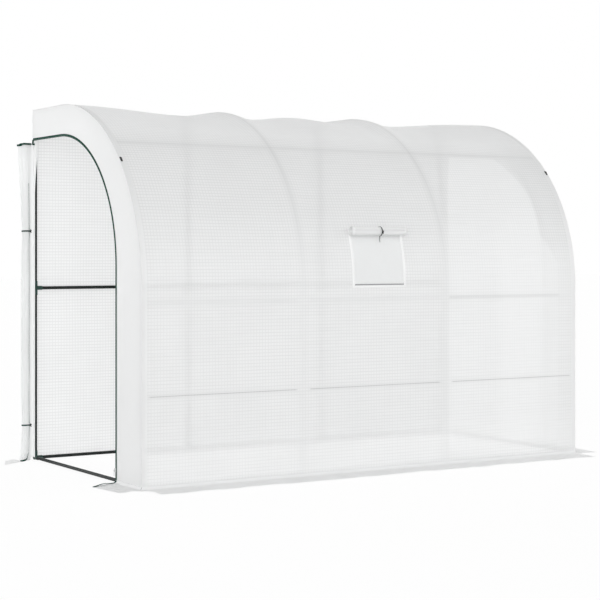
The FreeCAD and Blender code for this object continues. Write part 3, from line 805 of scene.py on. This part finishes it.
def roll_point(angle, z, grow=0.0, plain=False):
    """A point round the rolled door. Angle 0 faces the wall corner, and a quarter turn on faces the front."""
    half_wide = (between(z, [(at, wide) for at, wide, _ in ROLL_SIZES]) + 0.005) / 2
    half_deep = between(z, [(at, deep) for at, _, deep in ROLL_SIZES])
    c, d = math.cos(angle), math.sin(angle)
    squareness = 2.3
    shape = (abs(c) ** squareness + abs(d) ** squareness) ** (-1 / squareness)
    dent = 0.0
    if not plain:
        free = smooth(min(abs(z - at) for at in TIES) / 0.10)
        for centre, drift, depth, wide in GROOVES:
            middle = centre + drift * rough(z, centre, 0.3, 1.6)
            off = (angle - middle + math.pi) % TURN - math.pi
            dent += depth * (0.45 + 0.55 * free) * math.exp(-(off / wide) ** 2)
        dent += 0.0032 * ((angle - EDGE_ANGLE) % TURN / TURN)
        dent += 0.0016 * rough(c * 0.6, z * 1.3, d * 0.6, 5.0)
    x = -(ROLL_NEAR + half_wide) + (half_wide - dent + grow) * c * shape
    y = ROLL_Y - (half_deep - dent + grow) * d * shape
    return row(x, y, z)


def round_roll(z, first, corners, lift):
    """Rings of a band round the roll. Each corner is how far out and up, and lift adds to up."""
    verts = []
    for i in range(BAND_RINGS):
        angle = TURN * i / (BAND_RINGS - 1) + first
        for grow, up in corners:
            p = roll_point(angle, z, grow, True)
            verts.append(Vector((p.x, p.y, p.z + up + lift(angle))))
    return verts


def make_roll():
    around = 72
    angles = [TURN * k / around + EDGE_ANGLE for k in range(around)]
    heights = steps(TRIM, ROLL_TOP, 130)
    verts = [roll_point(angle, z) for z in heights for angle in angles]
    uvs = [(k / around * 0.17, z) for z in heights for k in range(around)]
    turns = range(1, 5)
    for turn in turns:
        for k, angle in enumerate(angles):
            shrink = 0.0042 * turn + 0.003 * k / around
            verts.append(roll_point(angle, ROLL_TOP - 0.002 * (turn % 2), -shrink))
            uvs.append((0.0, 1.9))
    roll = piece("left_door_rolled_film", verts, bar_faces(0, len(heights) + len(turns), around), [ROLLED],
                 "left_door", uvs)
    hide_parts("left_door_roll")


def make_roll_foot():
    """The door's ground flap: from the roll's foot down and out over the ground."""
    bend_share, bend_x = 0.3, -0.088

    def flap(u, v):
        drawn = 0.030 * (1 - 0.4 * u)
        y_near = ROLL_Y - 0.018 + 0.036 * u
        if v < bend_share:
            share = v / bend_share
            x = -0.062 - 0.026 * share ** 2
            return row(x, y_near - drawn * share ** 2, 0.10 * (1 - share) ** 1.3 + 0.004)
        share = (v - bend_share) / (1 - bend_share)
        y_far = ROLL_Y - 0.150 + 0.118 * u
        x = bend_x - (0.162 - 0.050 * u) * share
        y = y_near - drawn + (y_far - y_near + drawn) * share
        wave = 0.5 + 0.5 * math.cos(math.pi * (2.2 * u - 0.3))
        lift = 0.010 * math.sin(math.pi * share) ** 2 * wave * smooth(u / 0.3)
        return row(x, y, 0.0012 + 0.0028 * (1 - share) ** 3 + lift + 0.010 * u * share ** 2)

    tail = surface("left_door_ground_flap", steps(0.0, 1.0, 22), steps(0.0, 1.0, 34, bend_share), flap,
                   [ROLLED], "left_door", uv_of=lambda u, v: (0.12 * u, 0.3 * v))


def make_roll_tapes():
    """The zip's tape on the rolled film: round its top, over to the post, and down its free edge."""
    def droop(angle):
        outer = row(-0.09, 0, 0).x - roll_point(angle, ROLL_TOP, 0.0012, True).x
        return -0.010 * smooth((outer + 0.012) / 0.02)

    corners = ((0.0008, 0.0005), (0.0024, 0.0005), (0.0024, 0.0110), (0.0008, 0.0110))
    rim = piece("left_door_zip_edge", round_roll(ROLL_TOP, EDGE_ANGLE, corners, droop),
                ring_faces(0, BAND_RINGS, 4), [ZIP], "left_door", flat=True)
    over = []
    for i in range(25):
        t = i / 24
        z = 1.9075 + 0.002 * math.sin(math.pi * t) - 0.006 * smooth((t - 0.85) / 0.15)
        over.append(row(-0.012 - 0.092 * t, ROLL_Y - 0.004 * math.sin(3 * t), z))
    band = ribbon("left_door_zip_over", over, lambda i: Vector((0, 1, 0)), 0.020, 0.0022, ZIP, "left_door")

    last_down = 70
    edge = [roll_point(EDGE_ANGLE, 1.670 - 1.620 * i / last_down, -0.0022) for i in range(last_down + 1)]
    edge += [row(*at) for at in ((-0.051, 1.4515, 0.031), (-0.058, 1.442, 0.016), (-0.070, 1.432, 0.0085),
                                 (-0.086, 1.422, 0.0068), (-0.100, 1.418, 0.0062), (-0.112, 1.4165, 0.0058))]

    def across(i):
        return Vector((0, -1, 0)).lerp(Vector((0, 0, 1)), smooth((i - last_down + 1) / 4))

    line = ribbon("left_door_zip_line", edge, across, 0.010, 0.0014, ZIP, "left_door")
    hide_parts("left_door_top_tape")


def make_ties():
    """Two green straps round the rolled door, each with a black toggle near the post."""
    corners = ((0.0004, -0.004), (0.0017, -0.004), (0.0017, 0.004), (0.0004, 0.004))
    verts, faces = [], []
    for z in TIES:
        faces += ring_faces(len(verts), BAND_RINGS, 4)
        verts += round_roll(z, 0.4, corners, lambda angle: 0.0012 * math.sin(angle))
    straps = piece("left_door_straps", verts, faces, [STRAP], "left_door", flat=True)
    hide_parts("left_door_ties")

    def plump(share):
        return 0.0032 * math.sin(math.pi * min(max(share, 0.06), 0.94)) ** 0.45

    for number, z in enumerate(TIES, 1):
        middle = roll_point(0.90, z, 0.0045, True)
        path = [middle + Vector((0.002 * math.sin(i), -0.001, (i / 12 - 0.5) * 0.022)) for i in range(13)]
        toggle = cord_like("left_door_toggle_%d" % number, path, plump, "left_door")


def make_seam():
    """The film between the roll (u 0) and the seam (1), its lap on the post (2) and round it (3)."""
    lap_x, seam_y, wrap_from = 0.0012, SEAM_Y - SHEET, 1.60

    def web(u, v):
        if u > 2.0:
            wrapped = POST_WRAP * smooth((v - wrap_from) / 0.30)
            return row(lap_x + wrapped * (u - 2.0), seam_y - POST_LAP, v)
        if u > 1.0:
            return row(lap_x, seam_y - POST_LAP * (u - 1.0), v)
        bow = 0.0015 * rough(u, v, 5.5, 4.0) * math.sin(math.pi * u)
        return row(-lap_x - 0.0262 * (1 - u) + 0.0024 * u, ROLL_Y + (seam_y - ROLL_Y) * u + bow, v)

    first = 0.12

    def keep(u, v):
        """Left out: the straps' slots by the roll, the web above the roll, and the wrap low on the post."""
        if u < 1.0 and v > ROLL_TOP or u > 2.0 and v < wrap_from + 0.01:
            return False
        return u > first or all(abs(v - z) >= TIE_SLOT for z in TIES)

    us = [0.0, first, 0.3, 0.5, 0.7, 0.85, 1.0, 1.25, 1.6, 2.0, 2.5, 3.0]
    vs = {FOLD + (ROLL_TOP - FOLD) * i / 60 for i in range(61)}
    vs |= {z + half for z in TIES for half in (-TIE_SLOT, TIE_SLOT)} | {1.910, 1.918, 1.927, 1.936}
    seam = surface("left_door_seam_film", us, sorted(vs), web, [SEAM, SEAM_LAP], keep=keep,
                   slot_of=lambda u, v: int(u > 1.0), uv_of=lambda u, v: (0.03 * u, v))
    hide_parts("left_door_seam")


# The zipped right door


def make_right_door():
    play = 0.002
    top, front, radius = DOOR_TOP - play, DOOR_FRONT + play, DOOR_BEND - play
    back = SEAM_Y - 0.0003
    door_x = LENGTH - SHEET

    def edge_top(y):
        if y >= front + radius:
            return top
        return top - radius + math.sqrt(max(0.0, radius ** 2 - (front + radius - y) ** 2))

    def place(u, v):
        z = FOLD + (edge_top(u) - FOLD) * v
        ripple = 0.003 * (0.4 + rough(u, z, 2.0, 3.0)) * math.sin(math.pi * v)
        ripple *= math.sin(math.pi * (u - front) / (back - front))
        return row(door_x - max(0.0, ripple), u, z)

    ys = [front + (back - front) * (i / 46) ** 1.35 for i in range(47)]
    panel = surface("right_door_film", ys, steps(0.0, 1.0, 60), place, [DOOR_FILM], "right_door",
                    uv_of=lambda u, v: (u, FOLD + (edge_top(u) - FOLD) * v))
    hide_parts("right_door_panel")

    def ground(u, v):
        out, z = fold_out(v)
        if out > FOLD_RADIUS:
            z += ground_lift(u + 4.0, out, 0.009) * math.sin(math.pi * min(1.0, out / SKIRT_REACH))
        return row(door_x + out, u, z)

    skirt = surface("right_door_ground_flap", steps(front, back, 56), steps(0.0, SKIRT_DEEP, 16, SKIRT_TURN),
                    ground, [SKIRT], "right_door")
    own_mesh(skirt)
    make_zip("right_door_zip", "right", "right_door", "right_door_zip_tape")


# The window. Its flap rolls on the bend, about an axis that lies just outside the hem.
ROLL_RADIUS = 0.026
AXIS_RADIUS = BEND + 0.0036 + ROLL_RADIUS
AXIS_ANGLE = math.asin((WINDOW_START + 0.297 + ROLL_RADIUS) / AXIS_RADIUS)
AXIS_Y, AXIS_Z = BEND - AXIS_RADIUS * math.cos(AXIS_ANGLE), BEND_Z + AXIS_RADIUS * math.sin(AXIS_ANGLE)
WINDOW_TIE_X = WINDOW_X + 0.014
HEM_TOP, HEM_LOW = HIGH_S - 0.007, HIGH_S - 0.037


def border_marks(low, high, size, count):
    """The border's grid lines: at both welds of each side, and evenly along its inner edge."""
    welds = (0, 0.002, 0.004, 0.014, 0.016, BORDER)
    inner = {low + BORDER + (size - 2 * BORDER) * i / count for i in range(count + 1)}
    return sorted({low + d for d in welds} | {high - d for d in welds} | inner)


def make_border():
    def raised(u, v):
        edge = min(u - LEFT_X, RIGHT_X - u, v - LOW_S, HIGH_S - v)
        if HOLE_LOW <= v <= HOLE_HIGH:
            edge = min(edge, abs(u - HOLE_LEFT), abs(HOLE_RIGHT - u))
        if HOLE_LEFT <= u <= HOLE_RIGHT:
            edge = min(edge, abs(v - HOLE_LOW), abs(HOLE_HIGH - v))
        return on_bend(u, v, 0.0004 + 0.0016 * smooth(edge / 0.004))

    border = surface("window_welded_border", border_marks(LEFT_X, RIGHT_X, WINDOW_W, 20),
                     border_marks(LOW_S, HIGH_S, WINDOW_H, 18), raised, [RIM],
                     keep=lambda u, v: not (HOLE_LEFT < u < HOLE_RIGHT and HOLE_LOW < v < HOLE_HIGH))
    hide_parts("window_border")


def make_net_and_hook_tape():
    def net_at(u, v):
        edge = min(u - HOLE_LEFT, HOLE_RIGHT - u, v - HOLE_LOW, HOLE_HIGH - v)
        return on_bend(u, v, -0.0008 - 0.004 * smooth(edge / 0.12) * (0.6 + 0.5 * rough(u, v, 2.0, 9.0)))

    mesh = surface("window_insect_net", steps(HOLE_LEFT, HOLE_RIGHT, 30), steps(HOLE_LOW, HOLE_HIGH, 30),
                   net_at, [NET])
    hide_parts("window_mesh")

    low_x, high_x, wide, rim = WINDOW_X - 0.170, WINDOW_X + 0.170, 0.0075, 0.0012
    top = HOLE_LOW + 0.002

    def hook(u, v):
        near = min(u - low_x, high_x - u, v - top + wide, top - v)
        return on_bend(u, v, 0.0021 + 0.0010 * smooth(near / rim))

    tape = surface("window_hook_tape", steps(low_x, high_x, 90, low_x + rim, high_x - rim),
                   [top - down for down in (wide, 0.0069, 0.0063, 0.0038, rim, 0.0006, 0.0)],
                   hook, [HOOK_TAPE])
    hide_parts("window_fastener")


def make_flap():
    def raised(u, v):
        return on_bend(u, v, 0.0024 + 0.0012 * smooth(min(v - HEM_LOW, HEM_TOP - v) / 0.005))

    hem = surface("window_flap_hem_film", steps(LEFT_X, RIGHT_X, 40), steps(HEM_LOW, HEM_TOP, 8), raised,
                  [PLAIN])
    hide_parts("window_flap_hem")

    turns, per_turn = 4, 40

    def rolled(t, x):
        """The roll is fuller at its ends and drawn in under its tie."""
        fat = max(ROLL_RADIUS - 0.0012 - 0.0052 * t, 0.003) + 0.0008 * rough(x, TURN * t, 1.0, 12.0)
        fat -= 0.0014 * math.exp(-((x - WINDOW_TIE_X) / 0.012) ** 2)
        fat += 0.0012 * (1 - smooth(min(x - LEFT_X, RIGHT_X - x) / 0.006))
        turned = AXIS_ANGLE + math.pi + TURN * t
        return row(x, AXIS_Y + fat * math.cos(turned), AXIS_Z - fat * math.sin(turned))

    roll = surface("window_flap_rolled", [i / per_turn for i in range(turns * per_turn + 1)],
                   steps(LEFT_X, RIGHT_X, 44, LEFT_X + 0.010, RIGHT_X - 0.010), rolled, [FLAP, RIM],
                   "window_flap", slot_of=lambda t, x: int(x < LEFT_X + 0.014 or x > RIGHT_X - 0.010),
                   uv_of=lambda t, x: (x, TURN * t * 0.02))
    thick = roll.modifiers.new("thickness", "SOLIDIFY")
    thick.thickness = 0.0022
    thick.offset = -1
    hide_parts("window_flap_roll")


def make_window_tie():
    reach = ROLL_RADIUS + 0.0015
    ring = [row(WINDOW_TIE_X, AXIS_Y + reach * math.cos(a), AXIS_Z + reach * math.sin(a))
            for a in (math.radians(d) for d in range(55, 272, 8))]
    foot = ring[-1]
    tail = [foot + Vector((0.0008 * math.sin(i * 0.9), -0.001 * i / 8, -0.0040 * i)) for i in range(1, 10)]
    middle = row(WINDOW_TIE_X + 0.004, AXIS_Y - 0.0290, AXIS_Z - 0.004)
    tied = [middle + Vector((0.0012 * math.sin(i * 1.3), 0, (i - 5) * 0.0022)) for i in range(11)]
    wrap = ribbon("window_tie_strap", ring, lambda i: Vector((1, 0, 0)), 0.0050, 0.0016, BLACK_STRAP,
                  "window_flap")
    end = ribbon("window_tie_end", [foot] + tail, lambda i: Vector((1, 0.1 * i, 0)), 0.0048, 0.0014,
                 BLACK_STRAP, "window_flap")
    knot = cord_like("window_tie_knot", tied, lambda t: 0.0008 + 0.0030 * math.sin(math.pi * t) ** 0.7,
                     "window_flap")
    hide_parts("window_flap_tie")


def make_veil():
    """The flap's cloth between its hem and the roll. On the real flap it is drawn out as the roll comes down.
    """
    top, low = HEM_LOW + 0.002, BEND * AXIS_ANGLE - 0.002

    def lead(u, v):
        return on_bend(u, top + (low - top) * v, 0.0019)

    veil = surface("window_flap_film", steps(LEFT_X + 0.001, RIGHT_X - 0.001, 24), steps(0.0, 1.0, 24), lead,
                   [DOOR_FILM], None, uv_of=lambda u, v: (u, 0.3 * v))
    tuple(lead(WINDOW_X, 0.1))
    tuple(lead(WINDOW_X, 1.0))
    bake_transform(veil)


# The frame and small fittings


def make_loop_tabs():
    """The short straps that hold the guy loops to the cover's edge."""
    for side in ("left", "right"):
        x = end_x(side, LOOP_X)
        path = [on_bend(x, BEND * LOOP_ANGLE + 0.004 * (i - 4), 0.0011) for i in range(9)]
        tab = ribbon(side + "_loop_tab", path, lambda i: Vector((1, 0, 0)), 0.012, 0.0016, BLACK_STRAP)


def dress_nodes():
    finishes = {STEEL: ("front_leg_", "hoop_", "rear_post_", "_rail", "roof_purlin"),
                CONNECTOR: ("_connectors",), HARDWARE: ("_zip_slider", "_zip_pull"), LOOP: ("guy_loops",)}
    for name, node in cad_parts.items():
        for material, words in finishes.items():
            if any(word in name for word in words):
                for slot in node.material_slots:
                    slot.link = "OBJECT"
                    slot.material = material


# The studio


def make_camera(scene):
    camera = add("camera", bpy.data.cameras.new("camera"))
    camera.location = (-5.2316, -8.3507, 1.2598)
    camera.rotation_euler = (math.radians(90), 0, math.radians(-31.629))
    camera.data.sensor_width = 36
    camera.data.lens = 97.05
    camera.data.shift_y = -0.0809
    scene.camera = camera


def make_world(scene):
    """A white sky, a little dimmer overhead, and plain white where the camera sees it."""
    world = bpy.data.worlds.new("studio")
    scene.world = world
    world.use_nodes = True
    g = Graph(world.node_tree)
    light = g.nodes["Background"]
    light.inputs[0].default_value = (1, 1, 1, 1)
    g.link(g.spread(g.split(g.place("Generated"))[2], 0.0, 0.8, 1.03, 0.47), light.inputs[1])
    g.show(g.mix_shader(g.seen(), light, g.white("ShaderNodeBackground", 1.0)), "World Output")


def make_floor():
    """A floor that keeps a tenth of the object's shade and otherwise runs into the white."""
    size, z = 60, -0.0006
    corners = [(-size, -size, z), (size, -size, z), (size, size, z), (-size, size, z)]
    mesh = bpy.data.meshes.new("floor")
    mesh.from_pydata(corners, [], [(0, 1, 2, 3)])
    floor = add("floor", mesh)
    s = Shader("floor", (0.93, 0.93, 0.93), 0.9)
    s.put("Specular IOR Level", 0.1)
    s.show(s.mix_shader(s.times(s.seen(), 0.90), s.bsdf, s.white("ShaderNodeEmission", 1.02)))
    floor.data.materials.append(s.material)


def make_suns():
    for name, toward, strength, spread in (("key", (0.62, 0.77, -0.12), 1.40, 70),
                                           ("back", (0.10, -1.0, -0.10), 0.80, 50),
                                           ("right", (-1.0, 0.12, -0.12), 1.10, 50)):
        data = bpy.data.lights.new(name, "SUN")
        data.energy = strength
        data.angle = math.radians(spread)
        add(name, data).rotation_euler = Vector(toward).to_track_quat("-Z", "Y").to_euler()


def make_studio():
    scene = bpy.context.scene
    scene.view_settings.view_transform = "Standard"
    make_camera(scene)
    make_world(scene)
    make_floor()
    make_suns()


make_cover()
for end_side in ("left", "right"):
    make_end(end_side)
make_front_skirt()
for end_side in ("left", "right"):
    make_end_skirt(end_side)
make_roll()
make_roll_foot()
make_roll_tapes()
make_ties()
make_seam()
make_right_door()
make_border()
make_net_and_hook_tape()
make_flap()
make_window_tie()
make_veil()
make_loop_tabs()
dress_nodes()
make_studio()
